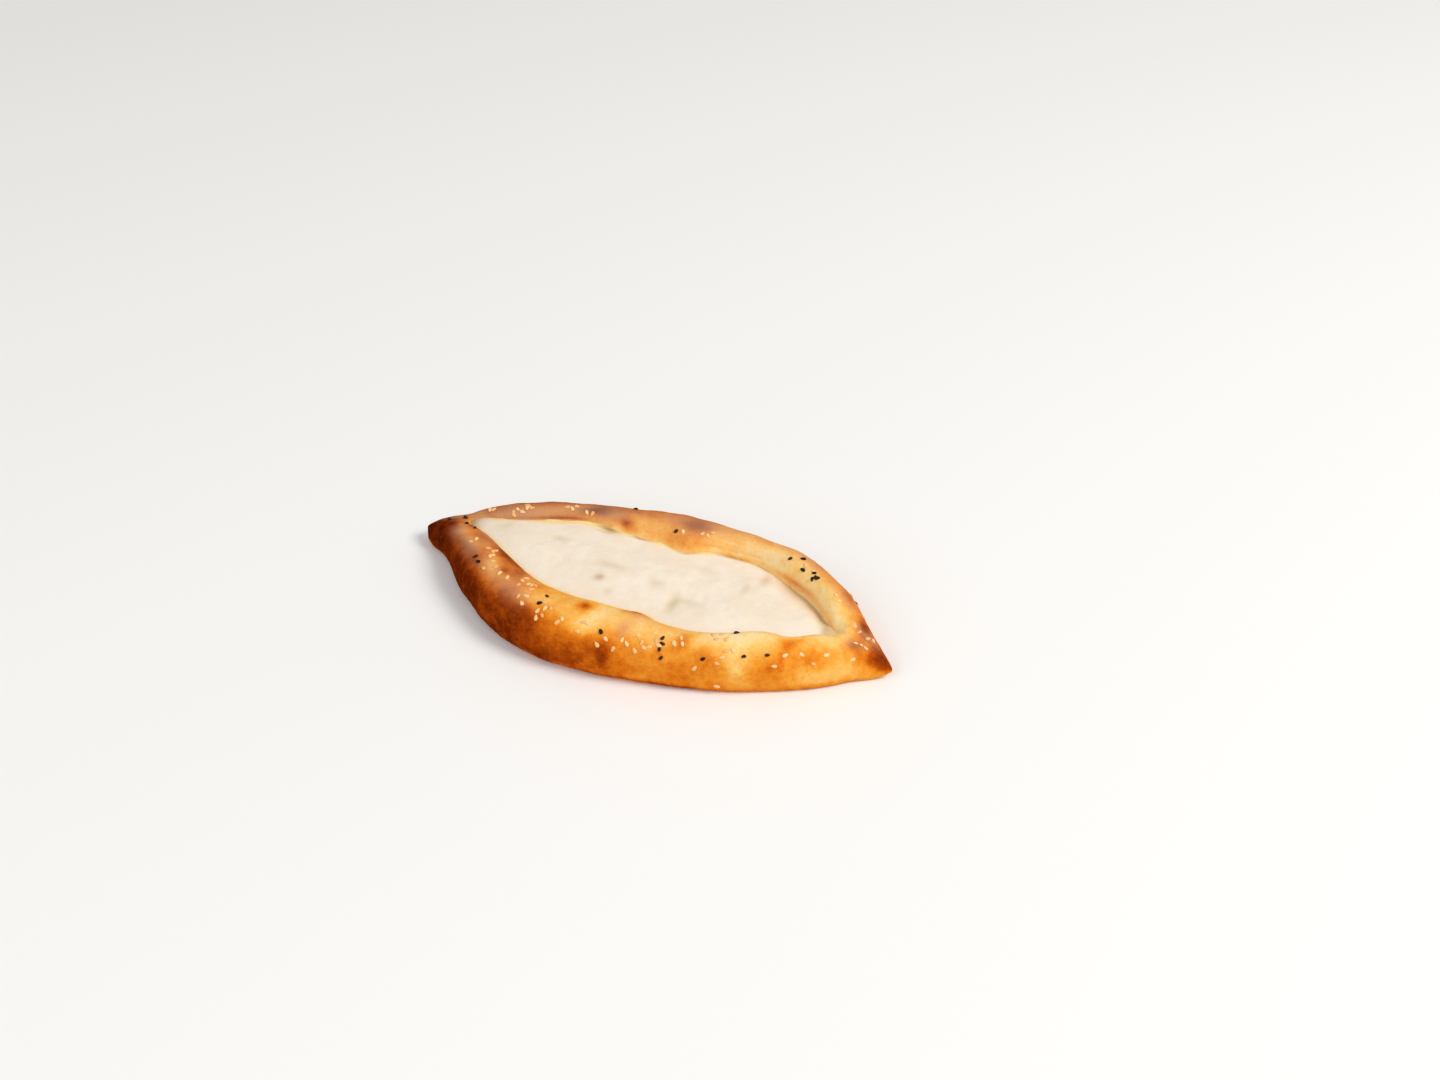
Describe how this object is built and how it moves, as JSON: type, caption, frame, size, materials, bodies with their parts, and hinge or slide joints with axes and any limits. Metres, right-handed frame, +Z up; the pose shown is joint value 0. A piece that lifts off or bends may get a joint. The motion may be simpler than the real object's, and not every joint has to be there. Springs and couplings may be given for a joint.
{
  "type": "halloumi pie",
  "caption": "Boat-shaped baked halloumi pie: browned dough rims pinched at both ends around soft white cheese, with sesame and nigella seeds on the crust.",
  "frame": {"origin": "middle of the crust's flat underside, centred on the pie's box", "axes": "+X runs along the pie from its blunt, darkly browned tip to its thinner pinched tail, +Z points up out of the cheese, and +Y points across to the rim whose lip bulges over the cheese near the middle"},
  "size_m": [0.254, 0.1192, 0.027],
  "materials": {
    "crust": "egg-washed baked dough, satin with a soft sheen, browned unevenly",
    "cheese": "soft baked white cheese, matte with a slight moist gloss",
    "sesame": "pale toasted seed, satin",
    "nigella": "black seed, matte"
  },
  "bodies": {
    "root": {"crust": "crust", "cheese_filling": "cheese"}
  },
  "joints": []
}
